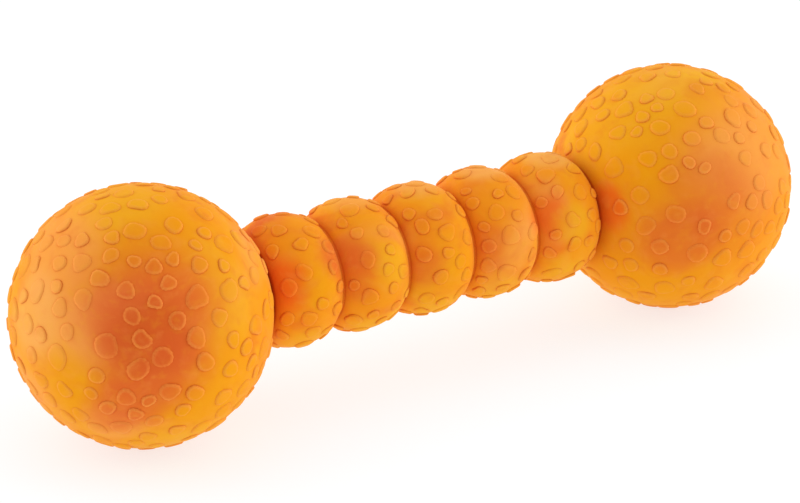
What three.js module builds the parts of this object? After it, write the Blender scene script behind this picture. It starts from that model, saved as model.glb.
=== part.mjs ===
// Rubber throw toy for a dog: two hollow balls joined by a bar of round beads.
// Millimetres, +Z up. The bar lies along X, and the origin is on the floor, midway between the balls.
import * as THREE from "three";

// Driving dimensions
const ballDiameter = 60; // over the pebbled skin
const ballWall = 7;
const beltWidth = 4; // flat belt round the ball where its halves meet, as wide as one pebble
const beadCount = 5;
const beadDiameter = 31.5;
const beadPitch = 17.7;
const beadBulge = 5.5; // height of the arc that rounds a bead over
const beadRoll = THREE.MathUtils.degToRad(80); // how far round its arc a bead runs before it meets the next
const grooveFillet = 0.4;
const seatWidth = 4.2; // dished ring at the bar's end that is cemented to the ball
const buttonLip = 4.5; // how far the button inside the ball overhangs the plug
const buttonHeight = 5;
const bondLine = 0.3; // cement between the bar and a ball

// Colours of the two batches of rubber
const ballColour = 0xe8912c;
const barColour = 0xe07a22;

// Smoothness of the round surfaces
const sides = 40;
const ballArcStep = THREE.MathUtils.degToRad(9);
const beadArcSteps = 10;
const filletArcSteps = 3;
const buttonArcSteps = 5;

// Sizes that follow
const ballRadius = ballDiameter / 2;
const cavityRadius = ballRadius - ballWall;
const beltRadius = Math.sqrt(ballRadius ** 2 - (beltWidth / 2) ** 2);
const beltAngle = Math.asin(beltWidth / 2 / ballRadius);
const beadRadius = beadDiameter / 2;
const beadCore = beadRadius - beadBulge; // where the middle of a bead's arc lies
const creaseRadius = beadCore + beadBulge * Math.cos(beadRoll);
const plugRadius = creaseRadius - seatWidth;
const holeRadius = plugRadius + bondLine;
const buttonRadius = plugRadius + buttonLip;
const seatRadius = ballRadius + bondLine;
const buttonSeatRadius = cavityRadius - bondLine;
const barHalfLength = (beadCount * beadPitch) / 2;
const ballOffset = barHalfLength + Math.sqrt(seatRadius ** 2 - creaseRadius ** 2);
const flatSide = Math.cos(Math.PI / sides); // a side's distance from the axis, for a corner at 1
const axisHeight = beltRadius * flatSide;

// A bead's outline is an arc of an ellipse that meets the next bead's at half the pitch.
const beadHalfWidth = beadPitch / 2 / Math.sin(beadRoll);

function rubber(colour) {
  return new THREE.MeshStandardMaterial({ color: colour, roughness: 0.7, metalness: 0 });
}

// Outlines are drawn with x as the distance from the bar's axis and y as the place along it.
function ballArc(radius, from, to) {
  const steps = Math.ceil(Math.abs(to - from) / ballArcStep);
  return new THREE.EllipseCurve(0, 0, radius, radius, from, to, from > to).getPoints(steps);
}

// Angle on a sphere, from its equator towards the bar, at which it is as wide as a hole or a plug.
function angleAt(sphereRadius, width) {
  return -Math.acos(width / sphereRadius);
}

// Turns an outline about the bar's axis, with one flat side straight down.
function turned(outline) {
  return new THREE.LatheGeometry(outline, sides, Math.PI / sides).rotateZ(-Math.PI / 2);
}

// Closed half of a ball, from the pole of the hollow round to the pole of the skin.
function ballOuterHalf() {
  return turned([
    ...ballArc(cavityRadius, Math.PI / 2, 0),
    new THREE.Vector2(beltRadius, 0),
    ...ballArc(ballRadius, beltAngle, Math.PI / 2),
  ]);
}

// Half of a ball with the hole that the bar's plug fills.
function ballInnerHalf() {
  const outline = [
    new THREE.Vector2(beltRadius, 0),
    ...ballArc(cavityRadius, 0, angleAt(cavityRadius, holeRadius)),
    ...ballArc(ballRadius, angleAt(ballRadius, holeRadius), -beltAngle),
  ];
  return turned([...outline, outline[0]]);
}

// Tilt of a bead's skin, from straight out, at an angle on its ellipse.
function beadTilt(angle) {
  return Math.atan2(beadBulge * Math.sin(angle), beadHalfWidth * Math.cos(angle));
}

// Angle on a bead at which the rounding of a crease, centred half a pitch away, touches it.
function findFilletAngle() {
  let low = 0;
  let high = beadRoll;
  while (high - low > Number.EPSILON) {
    const angle = (low + high) / 2;
    const reach = beadHalfWidth * Math.sin(angle) + grooveFillet * Math.sin(beadTilt(angle));
    if (reach < beadPitch / 2) low = angle;
    else high = angle;
  }
  return low;
}
const filletAngle = findFilletAngle();

function bead(along, from, to) {
  const arc = new THREE.EllipseCurve(beadCore, along, beadBulge, beadHalfWidth, from, to);
  return arc.getPoints(beadArcSteps);
}

// Rounded bottom of the groove between two beads, without the points that it shares with them.
function crease(along) {
  const tilt = beadTilt(filletAngle);
  const centre = beadCore + beadBulge * Math.cos(filletAngle) + grooveFillet * Math.cos(tilt);
  const from = Math.PI + tilt;
  const to = Math.PI - tilt;
  const round = new THREE.EllipseCurve(centre, along, grooveFillet, grooveFillet, from, to, true);
  return round.getPoints(filletArcSteps).slice(1, -1);
}

// Right end of the bar, from the crease to the axis: the dished seat, the plug and the domed button.
function barEnd() {
  const seat = ballArc(seatRadius, angleAt(seatRadius, creaseRadius), angleAt(seatRadius, plugRadius));
  const plugEnd = angleAt(buttonSeatRadius, plugRadius);
  const buttonRim = angleAt(buttonSeatRadius, buttonRadius);
  const buttonSeat = ballArc(buttonSeatRadius, plugEnd, buttonRim);
  const rimPlace = buttonSeatRadius * Math.sin(buttonRim);
  const dome = new THREE.EllipseCurve(0, rimPlace, buttonRadius, buttonHeight, 0, Math.PI / 2);
  const inBall = [...seat.slice(1), ...buttonSeat, ...dome.getPoints(buttonArcSteps).slice(1)];
  return inBall.map((point) => new THREE.Vector2(point.x, point.y + ballOffset));
}

function gripBar() {
  const rightEnd = barEnd();
  const leftEnd = rightEnd.map((point) => new THREE.Vector2(point.x, -point.y)).reverse();
  const beads = [];
  for (let index = 0; index < beadCount; index += 1) {
    const along = (index - (beadCount - 1) / 2) * beadPitch;
    const isLast = index === beadCount - 1;
    const from = index === 0 ? -beadRoll : -filletAngle;
    const to = isLast ? beadRoll : filletAngle;
    beads.push(...bead(along, from, to));
    if (!isLast) beads.push(...crease(along + beadPitch / 2));
  }
  return turned([...leftEnd, ...beads, ...rightEnd]);
}

function piece(name, geometry, colour) {
  const mesh = new THREE.Mesh(geometry, rubber(colour));
  mesh.name = name;
  return mesh;
}

// One ball with its centre at the group's origin, its closed half at +X and the bar at -X.
function ball(side) {
  const group = new THREE.Group();
  group.add(piece(`${side}_ball_outer_half`, ballOuterHalf(), ballColour));
  group.add(piece(`${side}_ball_inner_half`, ballInnerHalf(), ballColour));
  return group;
}

const rightBall = ball("right");
rightBall.position.x = ballOffset;
const leftBall = ball("left");
leftBall.position.x = -ballOffset;
leftBall.rotation.z = Math.PI;

const dumbbell = new THREE.Group();
dumbbell.position.z = axisHeight;
dumbbell.add(leftBall, piece("grip_bar", gripBar(), barColour), rightBall);

export default dumbbell;
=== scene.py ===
import math
import random
from functools import partial

import bmesh
import bpy
import numpy
from mathutils import Matrix, Vector


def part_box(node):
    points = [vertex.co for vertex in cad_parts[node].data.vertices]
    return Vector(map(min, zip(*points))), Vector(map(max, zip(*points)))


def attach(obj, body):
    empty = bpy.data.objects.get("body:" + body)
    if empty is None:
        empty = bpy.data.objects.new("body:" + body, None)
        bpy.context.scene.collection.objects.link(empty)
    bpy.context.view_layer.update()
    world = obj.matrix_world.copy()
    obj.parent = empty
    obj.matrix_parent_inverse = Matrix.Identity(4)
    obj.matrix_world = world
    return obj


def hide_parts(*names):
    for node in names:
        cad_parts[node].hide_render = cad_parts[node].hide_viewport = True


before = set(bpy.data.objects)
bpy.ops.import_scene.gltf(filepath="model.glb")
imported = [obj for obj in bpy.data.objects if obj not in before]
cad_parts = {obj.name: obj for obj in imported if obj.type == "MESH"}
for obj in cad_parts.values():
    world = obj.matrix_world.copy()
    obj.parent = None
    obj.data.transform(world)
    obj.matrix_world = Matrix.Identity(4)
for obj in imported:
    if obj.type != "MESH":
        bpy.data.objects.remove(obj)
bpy.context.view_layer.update()        # five rubber mouldings on one body
mm = 0.001


# Balls as the frame gives them: the closed half runs from the ball's middle to its far pole
def readBall(side):
    low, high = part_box(side + "_ball_outer_half")
    middle = low.x if side == "right" else high.x
    return {
        "side": side,
        "nodes": [side + "_ball_outer_half", side + "_ball_inner_half"],
        "middle": Vector((middle, 0, (low.z + high.z) / 2)),
        "radius": high.x - low.x,
        "toBar": Vector((-1 if side == "right" else 1, 0, 0)),
    }


leftBall = readBall("left")
rightBall = readBall("right")
axisHeight = leftBall["middle"].z
barMiddle = Vector((0, 0, axisHeight))

# Where the photograph was taken from
eye = {
    "azimuth": -30.93,          # degrees, 0 looks along +Y
    "elevation": 24.28,
    "distance": 754.7 * mm,
    "focalPixels": 3206.6,
    "slideRight": -3.96 * mm,   # picture's middle from the bar's middle
    "slideUp": -0.88 * mm,
    "picture": (800, 503),
    "filmWidth": 36,
    "nearest": 50 * mm,         # nothing closer is drawn
}


# Direction by degrees round from -Y, and up
def direction(roundDegrees, upDegrees):
    turn = math.radians(roundDegrees)
    up = math.radians(upDegrees)
    return Vector((math.sin(turn) * math.cos(up), -math.cos(turn) * math.cos(up), math.sin(up)))


toEye = direction(eye["azimuth"], eye["elevation"])
eyeRight = (-toEye).cross(Vector((0, 0, 1))).normalized()
eyeUp = eyeRight.cross(-toEye)
eyePoint = barMiddle + toEye * eye["distance"] + eyeRight * eye["slideRight"] + eyeUp * eye["slideUp"]


def makeCamera():
    lens = bpy.data.cameras.new("photoEye")
    lens.sensor_width = eye["filmWidth"]
    lens.lens = eye["filmWidth"] * eye["focalPixels"] / eye["picture"][0]
    lens.clip_start = eye["nearest"]
    camera = bpy.data.objects.new("photoEye", lens)
    turned = Matrix((eyeRight, eyeUp, toEye)).transposed()
    camera.matrix_world = Matrix.Translation(eyePoint) @ turned.to_4x4()
    bpy.context.scene.collection.objects.link(camera)
    bpy.context.scene.camera = camera


def lookAt(pixel):
    across = (pixel[0] - eye["picture"][0] / 2) / eye["focalPixels"]
    down = (pixel[1] - eye["picture"][1] / 2) / eye["focalPixels"]
    return (eyeRight * across - eyeUp * down - toEye).normalized()


# Point of a ball's skin behind a pixel of the photograph
def spotOnBall(ball, pixel):
    ray = lookAt(pixel)
    toBall = ball["middle"] - eyePoint
    along = toBall.dot(ray)
    depth = ball["radius"] ** 2 - (toBall - ray * along).length_squared
    return eyePoint + ray * (along - math.sqrt(max(depth, 0)))


makeCamera()
print("camera: in place")

pebble = {
    "sides": 14,
    "smallest": 1.4 * mm,         # half widths
    "usual": 2.0 * mm,
    "largest": 2.9 * mm,
    "height": 0.44 * mm,
    "wall": 0.06 * mm,            # upright part of the height
    "skinDepth": 0.2 * mm,        # skin below the toy's nominal size
    "shoulder": 0.34,             # share of the half width that is rounded over
    "shoulderPower": 3.0,         # 1 is a straight slope, and more is steeper at the foot
    "roundSteps": 3,
    "root": 0.5 * mm,             # hidden in the skin
    "gap": 0.8 * mm,              # between pebbles, before their outlines stray from round
    "lobes": {2: 0.15, 3: 0.11, 4: 0.05},   # most that the outline swells, by bulges round it
    "rise": (0.65, 1.0),          # heights, against the tallest
    "tip": (0.0, 0.32),           # how much taller one side is than the middle
    "tries": 160,
    "trayCell": 8 * mm,
}


def pickHalfWidths(draw, count):
    sizes = [draw.triangular(pebble["smallest"], pebble["largest"], pebble["usual"]) for _ in range(count)]
    return sorted(sizes, reverse=True)


# Pebbles are shaped flat on a tray, one to a cell, and then laid on the skin
def cellOf(vert):
    return round(vert.co.x / pebble["trayCell"])


def cutOutlines(tray, spots, draw):
    for cell, spot in enumerate(spots):
        centre = Vector((cell * pebble["trayCell"], 0, -pebble["root"]))
        ring = bmesh.ops.create_circle(
            tray, cap_ends=True, segments=pebble["sides"], radius=spot["halfWidth"],
            matrix=Matrix.Translation(centre))
        lobes = [
            (count, draw.uniform(0, most), draw.uniform(0, math.tau))
            for count, most in pebble["lobes"].items()]
        for vert in ring["verts"]:
            arm = vert.co - centre
            angle = math.atan2(arm.y, arm.x)
            swell = 1 + sum(size * math.cos(count * angle + lean) for count, size, lean in lobes)
            vert.co = centre + arm * swell


def raiseTops(tray):
    grown = bmesh.ops.extrude_face_region(tray, geom=tray.faces[:])["geom"]
    topVerts = [part for part in grown if isinstance(part, bmesh.types.BMVert)]
    bmesh.ops.translate(tray, verts=topVerts, vec=(0, 0, pebble["root"] + pebble["wall"]))
    bmesh.ops.recalc_face_normals(tray, faces=tray.faces[:])
    return [part for part in grown if isinstance(part, bmesh.types.BMFace)]


def roundTops(tray, tops, dome):
    power = pebble["shoulderPower"]
    for step in range(pebble["roundSteps"]):
        before = step / pebble["roundSteps"]
        after = (step + 1) / pebble["roundSteps"]
        shrink = (1 - after * pebble["shoulder"]) / (1 - before * pebble["shoulder"])
        upward = dome * ((1 - before) ** power - (1 - after) ** power)
        bmesh.ops.inset_individual(tray, faces=tops, thickness=0)
        for top in tops:
            middle = cellOf(top.verts[0]) * pebble["trayCell"]
            for vert in top.verts:
                arm = vert.co.x - middle
                vert.co += Vector((arm * (shrink - 1), vert.co.y * (shrink - 1), upward))


def mouldPebbles(spots, draw, relief):
    tray = bmesh.new()
    cutOutlines(tray, spots, draw)
    tops = raiseTops(tray)
    roundTops(tray, tops, pebble["height"] * relief - pebble["wall"])
    leans = [(draw.uniform(*pebble["rise"]), draw.uniform(*pebble["tip"])) for _ in spots]
    for vert in tray.verts:
        cell = cellOf(vert)
        rise, tip = leans[cell]
        flat = vert.co - Vector((cell * pebble["trayCell"], 0, 0))
        if flat.z > 0:
            flat.z *= rise * (1 + tip * flat.x / spots[cell]["halfWidth"])
        vert.co = spots[cell]["lay"](flat)
    return tray


def objectFrom(shape, name):
    mesh = bpy.data.meshes.new(name)
    shape.to_mesh(mesh)
    shape.free()
    made = bpy.data.objects.new(name, mesh)
    bpy.context.scene.collection.objects.link(made)
    return made


def combine(piece, tool, operation):
    change = piece.modifiers.new(operation, "BOOLEAN")
    change.operation = operation
    change.solver = "MANIFOLD"
    change.object = tool
    depsgraph = bpy.context.evaluated_depsgraph_get()
    joined = bpy.data.meshes.new_from_object(piece.evaluated_get(depsgraph))
    piece.modifiers.clear()
    old = piece.data
    piece.data = joined
    joined.name = piece.name
    bpy.data.meshes.remove(old)
    bpy.data.meshes.remove(tool.data)


creaseAngle = math.radians(42)   # edges sharper than this stay crisp
mergeReach = 0.001 * mm          # points nearer than this are one


# Clears what the cuts leave behind: slivers, and points that only two edges meet at
def finishSkin(piece):
    skin = piece.data
    shape = bmesh.new()
    shape.from_mesh(skin)
    bmesh.ops.dissolve_degenerate(shape, edges=shape.edges[:], dist=mergeReach)
    spare = [vert for vert in shape.verts if len(vert.link_edges) == 2]
    bmesh.ops.dissolve_verts(shape, verts=spare)
    shape.to_mesh(skin)
    shape.free()
    skin.polygons.foreach_set("use_smooth", [True] * len(skin.polygons))
    skin.set_sharp_from_angle(angle=creaseAngle)
    skin.update()


# Hollow pebbled ball with the hole for the bar's plug
ballBuild = {
    "subdivisions": 6,
    "hollowSubdivisions": 5,
    "pebbles": 240,
    "seeds": {"left": 11, "right": 12},
    "wall": 7 * mm,
    "hole": 7.3 * mm,           # its radius
    "holeSides": 48,
    "neck": 12.6 * mm,          # bare ring round the bar
    "bareFrom": (693, 189),     # bare strip on the right ball, by pixels
    "bareTo": (786, 166),
    "bareHalfHeight": 2.4 * mm,
}


def farFromStrip(point, ends, reach):
    along = ends[1] - ends[0]
    share = (point - ends[0]).dot(along) / along.length_squared
    nearest = ends[0] + along * min(max(share, 0), 1)
    return (point - nearest).length > reach


def layOnBall(ball, out, skin, turned):
    side = out.orthogonal().normalized()
    side.rotate(Matrix.Rotation(turned, 3, out))
    other = out.cross(side)

    def lay(flat):
        aim = (out * skin + side * flat.x + other * flat.y).normalized()
        point = ball["middle"] + aim * (skin + flat.z)
        point.z = max(point.z, 0)    # pressed flat where the toy rests
        return point
    return lay


def scatterOnBall(ball, draw, strip):
    skin = ball["radius"] - pebble["skinDepth"]
    placed = numpy.zeros((0, 3))
    reaches = numpy.zeros(0)
    spots = []
    for halfWidth in pickHalfWidths(draw, ballBuild["pebbles"]):
        for _ in range(pebble["tries"]):
            out = Vector((draw.gauss(0, 1), draw.gauss(0, 1), draw.gauss(0, 1))).normalized()
            offAxis = out.cross(ball["toBar"]).length * skin
            if out.dot(ball["toBar"]) > 0 and offAxis < ballBuild["neck"] + halfWidth:
                continue
            point = ball["middle"] + out * skin
            if strip and not farFromStrip(point, strip, ballBuild["bareHalfHeight"] + halfWidth):
                continue
            apart = numpy.linalg.norm(placed - numpy.array(out), axis=1) * skin
            if numpy.any(apart < reaches + halfWidth + pebble["gap"]):
                continue
            placed = numpy.vstack((placed, numpy.array(out)))
            reaches = numpy.append(reaches, halfWidth)
            lay = layOnBall(ball, out, skin, draw.uniform(0, math.tau))
            spots.append({"halfWidth": halfWidth, "lay": lay})
            break
    return spots


def makeBall(ball):
    draw = random.Random(ballBuild["seeds"][ball["side"]])
    skin = ball["radius"] - pebble["skinDepth"]
    place = Matrix.Translation(ball["middle"])
    shape = bmesh.new()
    bmesh.ops.create_icosphere(shape, subdivisions=ballBuild["subdivisions"], radius=skin, matrix=place)
    piece = objectFrom(shape, ball["side"] + "_ball")
    strip = None
    if ball["side"] == "right":
        strip = [spotOnBall(ball, ballBuild["bareFrom"]), spotOnBall(ball, ballBuild["bareTo"])]
    spots = scatterOnBall(ball, draw, strip)
    combine(piece, objectFrom(mouldPebbles(spots, draw, 1), "pebbles"), "UNION")
    hollow = bmesh.new()
    bmesh.ops.create_icosphere(
        hollow, subdivisions=ballBuild["hollowSubdivisions"], radius=ball["radius"] - ballBuild["wall"],
        matrix=place)
    combine(piece, objectFrom(hollow, "hollow"), "DIFFERENCE")
    bore = bmesh.new()
    along = ball["toBar"].to_track_quat("Z", "Y").to_matrix().to_4x4()
    bmesh.ops.create_cone(
        bore, cap_ends=True, segments=ballBuild["holeSides"], radius1=ballBuild["hole"],
        radius2=ballBuild["hole"], depth=ball["radius"],
        matrix=place @ Matrix.Translation(ball["toBar"] * ball["radius"]) @ along)
    combine(piece, objectFrom(bore, "bore"), "DIFFERENCE")
    finishSkin(piece)
    print(piece.name + ":", len(spots), "pebbles,", len(piece.data.polygons), "faces")
    return piece


leftPiece = makeBall(leftBall)
rightPiece = makeBall(rightBall)

# Bar of beads, with a dished seat, a plug and a button at each end
barBuild = {
    "beads": 5,
    "pitch": 17.7 * mm,
    "beadRadius": 15.75 * mm,
    "bulge": 5.5 * mm,
    "roll": 80,                # degrees round its arc that a bead runs before it meets the next
    "fillet": 0.4 * mm,
    "plugRadius": 7 * mm,
    "buttonRadius": 11.5 * mm,
    "buttonHeight": 5 * mm,
    "bond": 0.05 * mm,
    "beadSteps": 18,
    "filletSteps": 6,
    "seatSteps": 4,
    "buttonSteps": 8,
    "aroundSteps": 96,
    "pebbles": 46,             # on one bead
    "pebbleShare": 0.86,       # their width, against those on the balls
    "relief": 1.0,             # and their height
    "bareCrease": 0.5 * mm,
    "seed": 13,
}
beadSkin = barBuild["beadRadius"] - pebble["skinDepth"]
creaseTurn = math.radians(barBuild["roll"])
beadHalfWidth = barBuild["pitch"] / 2 / math.sin(creaseTurn)
fineTurn = 1e-9                # radians, where a search for an angle ends


def beadPoint(bead, angle):
    along = (bead - (barBuild["beads"] - 1) / 2) * barBuild["pitch"]
    width = beadSkin - barBuild["bulge"] * (1 - math.cos(angle))
    return along + beadHalfWidth * math.sin(angle), width


def beadTilt(angle):
    return math.atan2(barBuild["bulge"] * math.sin(angle), beadHalfWidth * math.cos(angle))


# Angle on a bead where the rounding of the crease, centred half a pitch away, touches it
def filletTurn():
    low, high = 0, creaseTurn
    while high - low > fineTurn:
        angle = (low + high) / 2
        reach = beadHalfWidth * math.sin(angle) + barBuild["fillet"] * math.sin(beadTilt(angle))
        low, high = (angle, high) if reach < barBuild["pitch"] / 2 else (low, angle)
    return low


# Angle on the last bead where it runs into the ball's skin
def seatTurn(seatRadius):
    last = barBuild["beads"] - 1
    low, high = 0, math.pi / 2
    while high - low > fineTurn:
        angle = (low + high) / 2
        along, width = beadPoint(last, angle)
        outside = math.hypot(along - rightBall["middle"].x, width) > seatRadius
        low, high = (angle, high) if outside else (low, angle)
    return low


def between(start, end, steps):
    return [start + (end - start) * step / steps for step in range(steps + 1)]


def sphereArc(radius, fromWidth, toWidth):
    middle = rightBall["middle"].x
    turns = between(math.acos(fromWidth / radius), math.acos(toWidth / radius), barBuild["seatSteps"])
    return [(middle - radius * math.sin(angle), radius * math.cos(angle)) for angle in turns]


# Rounded bottom of the groove after a bead, without the points that it shares with the beads
def creaseArc(bead, rounding):
    fillet = barBuild["fillet"]
    lean = beadTilt(rounding)
    along, width = beadPoint(bead, rounding)
    groove = along + fillet * math.sin(lean)
    centre = width + fillet * math.cos(lean)
    turns = between(-lean, lean, barBuild["filletSteps"])[1:-1]
    return [(groove + fillet * math.sin(angle), centre - fillet * math.cos(angle)) for angle in turns]


# Right half of the bar's outline, from the top of the middle bead to the button's pole
def barOutline():
    seatRadius = rightBall["radius"] - pebble["skinDepth"] + barBuild["bond"]
    buttonSeat = rightBall["radius"] - ballBuild["wall"] - barBuild["bond"]
    rounding = filletTurn()
    outline = []
    half = (barBuild["beads"] - 1) // 2
    for bead in range(half, barBuild["beads"]):
        isLast = bead == barBuild["beads"] - 1
        start = 0 if bead == half else -rounding
        end = seatTurn(seatRadius) if isLast else rounding
        outline += [beadPoint(bead, angle) for angle in between(start, end, barBuild["beadSteps"])]
        if not isLast:
            outline += creaseArc(bead, rounding)
    endWidth = outline[-1][1]
    outline += sphereArc(seatRadius, endWidth, barBuild["plugRadius"])[1:]
    outline += sphereArc(buttonSeat, barBuild["plugRadius"], barBuild["buttonRadius"])
    rim = outline[-1][0]
    for angle in between(0, math.pi / 2, barBuild["buttonSteps"])[1:]:
        along = rim + barBuild["buttonHeight"] * math.sin(angle)
        outline.append((along, barBuild["buttonRadius"] * math.cos(angle)))
    return outline


def layOnBead(bead, angle, around, turned):
    pace = math.hypot(barBuild["bulge"] * math.sin(angle), beadHalfWidth * math.cos(angle))

    def lay(flat):
        across = flat.x * math.cos(turned) - flat.y * math.sin(turned)
        onward = flat.x * math.sin(turned) + flat.y * math.cos(turned)
        here = angle + onward / pace
        along, width = beadPoint(bead, here)
        lean = beadTilt(here)
        swing = around - across / width
        along += flat.z * math.sin(lean)
        width += flat.z * math.cos(lean)
        return Vector((along, width * math.sin(swing), axisHeight + width * math.cos(swing)))
    return lay


def crowds(point, halfWidth, others):
    for other in others:
        if (point - other["point"]).length < halfWidth + other["halfWidth"] + pebble["gap"]:
            return True
    return False


def scatterOnBead(bead, draw):
    found = []
    for fullWidth in pickHalfWidths(draw, barBuild["pebbles"]):
        halfWidth = fullWidth * barBuild["pebbleShare"]
        for _ in range(pebble["tries"]):
            angle = math.asin(draw.uniform(-1, 1) * math.sin(creaseTurn))
            around = draw.uniform(0, math.tau)
            along, width = beadPoint(bead, angle)
            toCrease = barBuild["pitch"] / 2 - abs(beadHalfWidth * math.sin(angle))
            if toCrease / math.cos(beadTilt(angle)) < halfWidth + barBuild["bareCrease"]:
                continue
            point = Vector((along, width * math.sin(around), width * math.cos(around)))
            if crowds(point, halfWidth, found):
                continue
            lay = layOnBead(bead, angle, around, draw.uniform(0, math.tau))
            found.append({"point": point, "halfWidth": halfWidth, "lay": lay})
            break
    return found


def makeBar():
    draw = random.Random(barBuild["seed"])
    shape = bmesh.new()
    right = [shape.verts.new((along, 0, axisHeight + width)) for along, width in barOutline()]
    left = [shape.verts.new((-vert.co.x, 0, vert.co.z)) for vert in right[1:]]
    chain = left[::-1] + right
    edges = [shape.edges.new(pair) for pair in zip(chain, chain[1:])]
    bmesh.ops.spin(
        shape, geom=chain + edges, cent=barMiddle, axis=(1, 0, 0), angle=math.tau,
        steps=barBuild["aroundSteps"], use_merge=True)
    bmesh.ops.remove_doubles(shape, verts=shape.verts[:], dist=mergeReach)
    bmesh.ops.recalc_face_normals(shape, faces=shape.faces[:])
    piece = objectFrom(shape, "beaded_bar")
    spots = []
    for bead in range(barBuild["beads"]):
        spots += scatterOnBead(bead, draw)
    combine(piece, objectFrom(mouldPebbles(spots, draw, barBuild["relief"]), "pebbles"), "UNION")
    finishSkin(piece)
    print(piece.name + ":", len(spots), "pebbles,", len(piece.data.polygons), "faces")
    return piece


barPiece = makeBar()

# Marbled natural rubber: batches of colour that swirl into each other
batches = {
    "amber": (0.90, 0.335, 0.003),
    "yellow": (0.91, 0.43, 0.013),
    "orange": (0.92, 0.31, 0.008),
    "pink": (0.95, 0.36, 0.07),
    "peach": (0.96, 0.46, 0.13),
    "red": (0.78, 0.12, 0.024),
    "scarlet": (0.92, 0.14, 0.01),
    "deep": (0.60, 0.075, 0.004),
}
marble = {
    "swirlScale": 38,           # features per metre
    "swirlReach": 9 * mm,
    "softDetail": 2,            # octaves of the noise
    "fineDetail": 3,
    "patchCore": 0.4,           # share of a patch's reach that has its full colour
}
# Broad swirls, thin veins between them, and small flecks over all: features per metre, offset of the
# pattern, the noise range over which a streak comes in, and the most that it tints
swirls = [
    {"batch": "orange", "scale": 42, "offset": 0.0, "from": 0.40, "to": 0.62, "share": 1.0},
    {"batch": "yellow", "scale": 36, "offset": 3.1, "from": 0.54, "to": 0.72, "share": 1.0},
    {"batch": "pink", "scale": 34, "offset": 7.7, "from": 0.54, "to": 0.74, "share": 1.0},
    {"batch": "red", "scale": 40, "offset": 12.4, "from": 0.60, "to": 0.82, "share": 1.0},
]
veins = [
    {"batch": "yellow", "scale": 120, "offset": 2.2, "from": 0.50, "to": 0.72, "share": 0.45},
    {"batch": "red", "scale": 150, "offset": 6.3, "from": 0.52, "to": 0.78, "share": 0.4},
]
flecks = [
    {"batch": "yellow", "scale": 420, "offset": 1.7, "from": 0.50, "to": 0.70, "share": 0.12},
    {"batch": "pink", "scale": 300, "offset": 8.8, "from": 0.50, "to": 0.72, "share": 0.14},
    {"batch": "red", "scale": 210, "offset": 5.1, "from": 0.52, "to": 0.76, "share": 0.2},
]
# Painted shade: a deeper colour round the pebbles' feet and in the grooves, where shade falls; painted
# highlight: a paler colour on the pebbles' rims
paintedShadeAndHighlight = {
    "foot": {"batch": "deep", "inside": False, "reach": 0.9 * mm, "open": 0.95, "shut": 0.66},
    "groove": {"batch": "deep", "inside": False, "reach": 6 * mm, "open": 0.85, "shut": 0.35},
    "rim": {"batch": "pink", "inside": True, "reach": 0.6 * mm, "open": 0.98, "shut": 0.84},
}
shelterSamples = 8
# Dry, slightly dusty surface with a fine grain and shallow dents
dryFinish = {
    "roughness": (0.55, 0.8),
    "wearScale": 260,
    "wearOffset": 9.0,
    "specular": 0.06,
    "sheen": 0.12,
    "sheenRoughness": 0.35,
    "sheenTint": (1, 0.75, 0.35),
    "grainScale": 2600,
    "grainDepth": 0.04 * mm,
    "dentScale": 400,
    "dentOffset": 4.0,
    "dentDepth": 0.1 * mm,
    "bumpStrength": 0.5,
}
noiseMean = 0.5
mixSockets = {"first": 6, "second": 7, "result": 2}   # a Mix node's colours


def addNode(tree, kind, **settings):
    node = tree.nodes.new(kind)
    for key, value in settings.items():
        setattr(node, key, value)
    return node


def addNoise(tree, vector, scale, detail, offset=0.0):
    moved = addNode(tree, "ShaderNodeVectorMath", operation="ADD")
    moved.inputs[1].default_value = (offset, offset, offset)
    tree.links.new(vector, moved.inputs[0])
    made = addNode(tree, "ShaderNodeTexNoise")
    made.inputs["Scale"].default_value = scale
    made.inputs["Detail"].default_value = detail
    tree.links.new(moved.outputs[0], made.inputs["Vector"])
    return made


def addRamp(tree, value, low, high, top=1.0):
    made = addNode(tree, "ShaderNodeMapRange", interpolation_type="SMOOTHSTEP")
    made.inputs["From Min"].default_value = low
    made.inputs["From Max"].default_value = high
    made.inputs["To Max"].default_value = top
    tree.links.new(value, made.inputs["Value"])
    return made.outputs["Result"]


# Tints a colour, which is the name of a batch or the output of another tint
def addTint(tree, colour, share, batch):
    made = addNode(tree, "ShaderNodeMix", data_type="RGBA")
    made.inputs[mixSockets["second"]].default_value = (*batches[batch], 1)
    tree.links.new(share, made.inputs[0])
    first = made.inputs[mixSockets["first"]]
    if isinstance(colour, str):
        first.default_value = (*batches[colour], 1)
    else:
        tree.links.new(colour, first)
    return made.outputs[mixSockets["result"]]


# Place that noise moves by up to a reach each way
def addSwirl(tree, place, swirl, reach):
    middle = addNode(tree, "ShaderNodeVectorMath", operation="SUBTRACT")
    middle.inputs[1].default_value = (noiseMean, noiseMean, noiseMean)
    tree.links.new(swirl.outputs["Color"], middle.inputs[0])
    pull = addNode(tree, "ShaderNodeVectorMath", operation="SCALE")
    pull.inputs["Scale"].default_value = reach / noiseMean
    tree.links.new(middle.outputs[0], pull.inputs[0])
    moved = addNode(tree, "ShaderNodeVectorMath", operation="ADD")
    tree.links.new(place, moved.inputs[0])
    tree.links.new(pull.outputs[0], moved.inputs[1])
    return moved.outputs[0]


def addStreaks(tree, colour, flow, streaks, detail):
    for streak in streaks:
        field = addNoise(tree, flow, streak["scale"], detail, streak["offset"])
        cover = addRamp(tree, field.outputs["Fac"], streak["from"], streak["to"], streak["share"])
        colour = addTint(tree, colour, cover, streak["batch"])
    return colour


def addPatches(tree, colour, drift, patches, spot):
    for patch in patches:
        gap = addNode(tree, "ShaderNodeVectorMath", operation="DISTANCE")
        gap.inputs[1].default_value = spot(patch["pixel"])
        tree.links.new(drift, gap.inputs[0])
        core = patch["reach"] * marble["patchCore"]
        cover = addRamp(tree, gap.outputs["Value"], patch["reach"], core, patch["share"])
        colour = addTint(tree, colour, cover, patch["batch"])
    return colour
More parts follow.
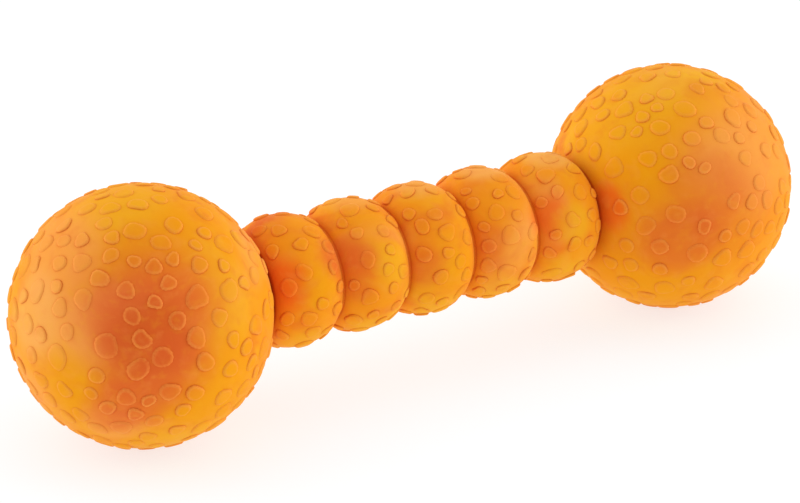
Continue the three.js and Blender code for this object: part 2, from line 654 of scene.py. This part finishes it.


# Painted shade: a redder, darker batch on one side of every bead, where the crease before it shades it,
# most of all at one level
def addFlankShade(tree, colour, place, flankShade):
    parts = addNode(tree, "ShaderNodeSeparateXYZ")
    tree.links.new(place, parts.inputs[0])
    onBead = addNode(tree, "ShaderNodeMath", operation="WRAP")
    onBead.inputs[1].default_value = barBuild["pitch"] / 2
    onBead.inputs[2].default_value = -barBuild["pitch"] / 2
    tree.links.new(parts.outputs["X"], onBead.inputs[0])
    level = addNode(tree, "ShaderNodeMath", operation="SUBTRACT")
    level.inputs[1].default_value = axisHeight + flankShade["level"]
    tree.links.new(parts.outputs["Z"], level.inputs[0])
    offLevel = addNode(tree, "ShaderNodeMath", operation="ABSOLUTE")
    tree.links.new(level.outputs[0], offLevel.inputs[0])
    aside = addRamp(tree, onBead.outputs[0], flankShade["to"], flankShade["from"])
    near = addRamp(tree, offLevel.outputs[0], flankShade["fade"], 0, flankShade["share"])
    cover = addNode(tree, "ShaderNodeMath", operation="MULTIPLY")
    tree.links.new(aside, cover.inputs[0])
    tree.links.new(near, cover.inputs[1])
    return addTint(tree, colour, cover.outputs[0], flankShade["batch"])


# Painted shade in hollows and painted highlight on rims, by how sheltered each point is
def addPaintedShadeAndHighlight(tree, colour, shares):
    for where, share in shares.items():
        corner = paintedShadeAndHighlight[where]
        shelter = addNode(
            tree, "ShaderNodeAmbientOcclusion", samples=shelterSamples, inside=corner["inside"])
        shelter.inputs["Distance"].default_value = corner["reach"]
        cover = addRamp(tree, shelter.outputs["AO"], corner["open"], corner["shut"], share)
        colour = addTint(tree, colour, cover, corner["batch"])
    return colour


def addDryFinish(tree, skin, place):
    worn = addNoise(tree, place, dryFinish["wearScale"], marble["fineDetail"], dryFinish["wearOffset"])
    rough = addNode(tree, "ShaderNodeMapRange")
    smoothest, roughest = dryFinish["roughness"]
    rough.inputs["To Min"].default_value = smoothest
    rough.inputs["To Max"].default_value = roughest
    tree.links.new(worn.outputs["Fac"], rough.inputs["Value"])
    tree.links.new(rough.outputs["Result"], skin.inputs["Roughness"])
    skin.inputs["Specular IOR Level"].default_value = dryFinish["specular"]
    skin.inputs["Sheen Weight"].default_value = dryFinish["sheen"]
    skin.inputs["Sheen Roughness"].default_value = dryFinish["sheenRoughness"]
    skin.inputs["Sheen Tint"].default_value = (*dryFinish["sheenTint"], 1)
    grain = addNoise(tree, place, dryFinish["grainScale"], marble["fineDetail"])
    dents = addNoise(tree, place, dryFinish["dentScale"], marble["softDetail"], dryFinish["dentOffset"])
    height = addNode(tree, "ShaderNodeMath", operation="MULTIPLY_ADD")
    height.inputs[1].default_value = dryFinish["dentDepth"] / dryFinish["grainDepth"]
    tree.links.new(dents.outputs["Fac"], height.inputs[0])
    tree.links.new(grain.outputs["Fac"], height.inputs[2])
    bump = addNode(tree, "ShaderNodeBump")
    bump.inputs["Strength"].default_value = dryFinish["bumpStrength"]
    bump.inputs["Distance"].default_value = dryFinish["grainDepth"]
    tree.links.new(height.outputs[0], bump.inputs["Height"])
    tree.links.new(bump.outputs["Normal"], skin.inputs["Normal"])


def makeRubber(name, rubber, spot):
    material = bpy.data.materials.new(name)
    material.use_nodes = True
    tree = material.node_tree
    skin = tree.nodes["Principled BSDF"]
    place = addNode(tree, "ShaderNodeTexCoord").outputs["Object"]
    swirl = addNoise(tree, place, marble["swirlScale"], marble["fineDetail"])
    flow = addSwirl(tree, place, swirl, marble["swirlReach"])
    drift = addSwirl(tree, place, swirl, rubber["drift"])
    colour = addStreaks(tree, rubber["base"], flow, swirls, marble["softDetail"])
    colour = addStreaks(tree, colour, flow, veins, marble["fineDetail"])
    colour = addPatches(tree, colour, drift, rubber["patches"], spot)
    # painted shade on one side of every bead
    if "flankShade" in rubber:
        colour = addFlankShade(tree, colour, place, rubber["flankShade"])
    colour = addStreaks(tree, colour, flow, flecks, marble["fineDetail"])
    # painted shade in the corners and grooves, painted highlight on the rims
    colour = addPaintedShadeAndHighlight(tree, colour, rubber["paintedShadeAndHighlight"])
    tree.links.new(colour, skin.inputs["Base Color"])
    addDryFinish(tree, skin, place)
    return material


# Rubber of each piece: its main batch, how far the swirls move its patches, how much painted shade its
# corners and grooves get and how much painted highlight its rims get, and the patches that the photograph
# shows, each by the pixel at its middle; painted shade and painted light among them are marked
leftRubber = {
    "base": "amber",
    "drift": 4.5 * mm,
    "paintedShadeAndHighlight": {"foot": 0.9, "groove": 0.36, "rim": 0.85},
    "patches": [
        {"batch": "amber", "pixel": (140, 225), "reach": 18 * mm, "share": 0.9},
        {"batch": "yellow", "pixel": (120, 200), "reach": 14 * mm, "share": 0.6},
        {"batch": "yellow", "pixel": (218, 300), "reach": 15 * mm, "share": 0.6},
        {"batch": "amber", "pixel": (210, 385), "reach": 15 * mm, "share": 0.8},
        {"batch": "pink", "pixel": (58, 250), "reach": 16 * mm, "share": 0.7},
        {"batch": "peach", "pixel": (35, 320), "reach": 13 * mm, "share": 0.5},
        {"batch": "pink", "pixel": (85, 330), "reach": 12 * mm, "share": 0.9},
        {"batch": "amber", "pixel": (75, 385), "reach": 12 * mm, "share": 0.6},
        {"batch": "pink", "pixel": (115, 425), "reach": 10 * mm, "share": 0.6},
        # Painted light: a yellow patch that lightens the ball's underside
        {"batch": "yellow", "pixel": (165, 445), "reach": 12 * mm, "share": 0.6},
        {"batch": "red", "pixel": (150, 308), "reach": 24 * mm, "share": 0.5},
        {"batch": "red", "pixel": (152, 316), "reach": 17 * mm, "share": 0.75},
        {"batch": "red", "pixel": (142, 366), "reach": 15 * mm, "share": 0.5},
        {"batch": "red", "pixel": (118, 412), "reach": 11 * mm, "share": 0.5},
        {"batch": "deep", "pixel": (150, 335), "reach": 13 * mm, "share": 0.35},
        {"batch": "red", "pixel": (172, 376), "reach": 13 * mm, "share": 0.35},
        {"batch": "red", "pixel": (136, 400), "reach": 12 * mm, "share": 0.42},
    ],
}
rightRubber = {
    "base": "amber",
    "drift": 4.5 * mm,
    "paintedShadeAndHighlight": {"foot": 0.75, "groove": 0.4, "rim": 0.8},
    "patches": [
        {"batch": "yellow", "pixel": (665, 85), "reach": 18 * mm, "share": 0.5},
        {"batch": "amber", "pixel": (630, 140), "reach": 18 * mm, "share": 0.9},
        {"batch": "yellow", "pixel": (615, 110), "reach": 18 * mm, "share": 0.5},
        {"batch": "amber", "pixel": (650, 270), "reach": 20 * mm, "share": 0.9},
        {"batch": "amber", "pixel": (640, 195), "reach": 14 * mm, "share": 0.8},
        {"batch": "orange", "pixel": (738, 150), "reach": 23 * mm, "share": 0.8},
        {"batch": "orange", "pixel": (745, 205), "reach": 19 * mm, "share": 0.8},
        {"batch": "orange", "pixel": (772, 215), "reach": 15 * mm, "share": 0.8},
        {"batch": "pink", "pixel": (740, 160), "reach": 20 * mm, "share": 0.7},
        {"batch": "orange", "pixel": (700, 238), "reach": 19 * mm, "share": 0.7},
        {"batch": "red", "pixel": (630, 222), "reach": 14 * mm, "share": 0.22},
        # Painted shade: a scarlet patch where the bar meets the ball
        {"batch": "scarlet", "pixel": (606, 211), "reach": 8 * mm, "share": 0.8},
        {"batch": "red", "pixel": (684, 235), "reach": 13 * mm, "share": 0.62},
        {"batch": "red", "pixel": (706, 186), "reach": 14 * mm, "share": 0.4},
        {"batch": "red", "pixel": (738, 212), "reach": 17 * mm, "share": 0.25},
        {"batch": "amber", "pixel": (670, 300), "reach": 16 * mm, "share": 0.7},
    ],
}
barRubber = {
    "base": "orange",
    "drift": 2.5 * mm,
    "paintedShadeAndHighlight": {"foot": 0.78, "groove": 0.36, "rim": 0.35},
    "patches": [
        # Painted shade over the rubber's own redder marbling: the scarlet and red patches below, on the
        # left side of each bead, by the crease before it
        {"batch": "scarlet", "pixel": (286, 285), "reach": 9 * mm, "share": 0.8},
        {"batch": "amber", "pixel": (322, 285), "reach": 7 * mm, "share": 0.8},
        {"batch": "orange", "pixel": (365, 215), "reach": 7 * mm, "share": 0.6},
        {"batch": "red", "pixel": (344, 254), "reach": 8 * mm, "share": 0.7},
        {"batch": "red", "pixel": (368, 260), "reach": 6 * mm, "share": 0.45},
        {"batch": "yellow", "pixel": (396, 263), "reach": 7 * mm, "share": 0.7},
        {"batch": "orange", "pixel": (435, 235), "reach": 8 * mm, "share": 0.9},
        {"batch": "amber", "pixel": (458, 270), "reach": 7 * mm, "share": 0.6},
        {"batch": "orange", "pixel": (500, 200), "reach": 10 * mm, "share": 0.8},
        {"batch": "red", "pixel": (488, 240), "reach": 6 * mm, "share": 0.5},
        {"batch": "red", "pixel": (490, 262), "reach": 6 * mm, "share": 0.35},
        {"batch": "red", "pixel": (424, 268), "reach": 7 * mm, "share": 0.4},
        {"batch": "red", "pixel": (358, 290), "reach": 6 * mm, "share": 0.4},
        {"batch": "scarlet", "pixel": (550, 215), "reach": 7 * mm, "share": 0.75},
        {"batch": "scarlet", "pixel": (556, 245), "reach": 6 * mm, "share": 0.5},
        {"batch": "yellow", "pixel": (572, 225), "reach": 7 * mm, "share": 0.7},
        # Painted light: peach patches that lighten the tops of the beads
        {"batch": "peach", "pixel": (350, 198), "reach": 8 * mm, "share": 0.3},
        {"batch": "peach", "pixel": (415, 184), "reach": 8 * mm, "share": 0.4},
        {"batch": "peach", "pixel": (480, 169), "reach": 8 * mm, "share": 0.5},
        {"batch": "peach", "pixel": (545, 156), "reach": 8 * mm, "share": 0.5},
        # Painted light: yellow patches that lighten the beads' undersides
        {"batch": "yellow", "pixel": (305, 343), "reach": 8 * mm, "share": 0.6},
        {"batch": "yellow", "pixel": (372, 326), "reach": 8 * mm, "share": 0.6},
        {"batch": "yellow", "pixel": (436, 309), "reach": 8 * mm, "share": 0.7},
        {"batch": "yellow", "pixel": (502, 290), "reach": 8 * mm, "share": 0.5},
        {"batch": "yellow", "pixel": (560, 276), "reach": 8 * mm, "share": 0.5},
    ],
    "flankShade": {             # painted shade: a redder batch on one side of every bead, by the crease before it
        "batch": "scarlet",
        "from": -8.8 * mm,
        "to": 1.5 * mm,
        "level": 5 * mm,    # its middle, above the bar's axis
        "fade": 14 * mm,
        "share": 0.45,
    },
}


# Point of the bar's skin behind a pixel of the photograph
def spotOnBar(pixel):
    ray = lookAt(pixel)
    start = eyePoint - barMiddle
    flatRay = Vector((ray.y, ray.z))
    flatStart = Vector((start.y, start.z))
    half = flatStart.dot(flatRay) / flatRay.length_squared
    depth = half ** 2 - (flatStart.length_squared - beadSkin ** 2) / flatRay.length_squared
    return eyePoint + ray * (-half - math.sqrt(max(depth, 0)))


def dress(piece, material, nodes):
    piece.data.materials.clear()
    piece.data.materials.append(material)
    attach(piece, "root")
    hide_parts(*nodes)


leftSkin = makeRubber("leftRubber", leftRubber, partial(spotOnBall, leftBall))
rightSkin = makeRubber("rightRubber", rightRubber, partial(spotOnBall, rightBall))
barSkin = makeRubber("barRubber", barRubber, spotOnBar)
dress(leftPiece, leftSkin, leftBall["nodes"])
dress(rightPiece, rightSkin, rightBall["nodes"])
dress(barPiece, barSkin, ["grip_bar"])
print("pieces: riding on the frame")

# White sweep under the toy
floorBuild = {
    "size": 6,                      # metres
    "colour": (0.33, 0.37, 0.39),   # a little blue, against the warm light that the toy throws on it
    "glow": 0.73,                   # light table, which fills the shade under the toy
    "seenLift": -0.03,              # change in the glow where the floor is seen
}


# 1 for rays that show a surface to the camera, straight or in a reflection
def seenRays(tree):
    path = addNode(tree, "ShaderNodeLightPath")
    seen = path.outputs["Is Camera Ray"]
    for ray in ("Is Glossy Ray", "Is Transmission Ray"):
        either = addNode(tree, "ShaderNodeMath", operation="MAXIMUM")
        tree.links.new(seen, either.inputs[0])
        tree.links.new(path.outputs[ray], either.inputs[1])
        seen = either.outputs[0]
    return seen


def makeFloor():
    shape = bmesh.new()
    bmesh.ops.create_grid(shape, x_segments=1, y_segments=1, size=floorBuild["size"] / 2)
    floor = objectFrom(shape, "floor")
    material = bpy.data.materials.new("whiteFloor")
    material.use_nodes = True
    tree = material.node_tree
    tree.nodes.clear()
    matte = addNode(tree, "ShaderNodeBsdfDiffuse")
    matte.inputs["Color"].default_value = (*floorBuild["colour"], 1)
    lift = addNode(tree, "ShaderNodeMath", operation="MULTIPLY_ADD")
    lift.inputs[1].default_value = floorBuild["seenLift"]
    lift.inputs[2].default_value = floorBuild["glow"]
    tree.links.new(seenRays(tree), lift.inputs[0])
    glow = addNode(tree, "ShaderNodeEmission")
    tree.links.new(lift.outputs[0], glow.inputs["Strength"])
    both = addNode(tree, "ShaderNodeAddShader")
    tree.links.new(matte.outputs[0], both.inputs[0])
    tree.links.new(glow.outputs[0], both.inputs[1])
    output = addNode(tree, "ShaderNodeOutputMaterial")
    tree.links.new(both.outputs[0], output.inputs["Surface"])
    floor.data.materials.append(material)


makeFloor()

# Soft boxes beside and over the toy: degrees round from the photograph's eye and up, watts and metres
lamps = {
    "left": {"round": -100, "up": 14, "power": 1.3, "size": 0.5},
    "right": {"round": 96, "up": 14, "power": 1.5, "size": 0.5},
    "top": {"round": 180, "up": 70, "power": 0.3, "size": 1.0},
}
lampDistance = 0.9
# Light tent, with openings over the photograph's eye and behind the toy, and the light left in each
tent = {
    "bright": 1.29,
    "openings": {0: 0.36, 180: 0.68},   # by degrees round from the eye
    "up": 38,                           # degrees
    "openTo": 20,
    "closedFrom": 62,
}


def makeLamps():
    for name, lamp in lamps.items():
        light = bpy.data.lights.new(name + "Lamp", "AREA")
        light.energy = lamp["power"]
        light.size = lamp["size"]
        aim = direction(eye["azimuth"] + lamp["round"], lamp["up"])
        made = bpy.data.objects.new(name + "Lamp", light)
        made.location = barMiddle + aim * lampDistance
        made.rotation_euler = aim.to_track_quat("Z", "Y").to_euler()
        bpy.context.scene.collection.objects.link(made)


def makeTent():
    world = bpy.data.worlds.new("lightTent")
    bpy.context.scene.world = world
    world.use_nodes = True
    tree = world.node_tree
    cloth = tree.nodes["Background"]
    cloth.inputs["Color"].default_value = (1, 1, 1, 1)
    way = addNode(tree, "ShaderNodeTexCoord").outputs["Generated"]
    strength = None
    for roundDegrees, left in tent["openings"].items():
        facing = addNode(tree, "ShaderNodeVectorMath", operation="DOT_PRODUCT")
        facing.inputs[1].default_value = direction(eye["azimuth"] + roundDegrees, tent["up"])
        tree.links.new(way, facing.inputs[0])
        opening = addNode(tree, "ShaderNodeMapRange", interpolation_type="SMOOTHSTEP")
        opening.inputs["From Min"].default_value = math.cos(math.radians(tent["closedFrom"]))
        opening.inputs["From Max"].default_value = math.cos(math.radians(tent["openTo"]))
        opening.inputs["To Min"].default_value = 1
        opening.inputs["To Max"].default_value = left
        tree.links.new(facing.outputs["Value"], opening.inputs["Value"])
        dimmed = addNode(tree, "ShaderNodeMath", operation="MULTIPLY")
        if strength is None:
            dimmed.inputs[0].default_value = tent["bright"]
        else:
            tree.links.new(strength, dimmed.inputs[0])
        tree.links.new(opening.outputs["Result"], dimmed.inputs[1])
        strength = dimmed.outputs[0]
    shown = addNode(tree, "ShaderNodeMath", operation="MAXIMUM")
    tree.links.new(strength, shown.inputs[0])
    tree.links.new(seenRays(tree), shown.inputs[1])
    tree.links.new(shown.outputs[0], cloth.inputs["Strength"])


makeTent()
makeLamps()
bpy.context.scene.view_settings.view_transform = "Standard"
print("stage: floor and lamps in place")
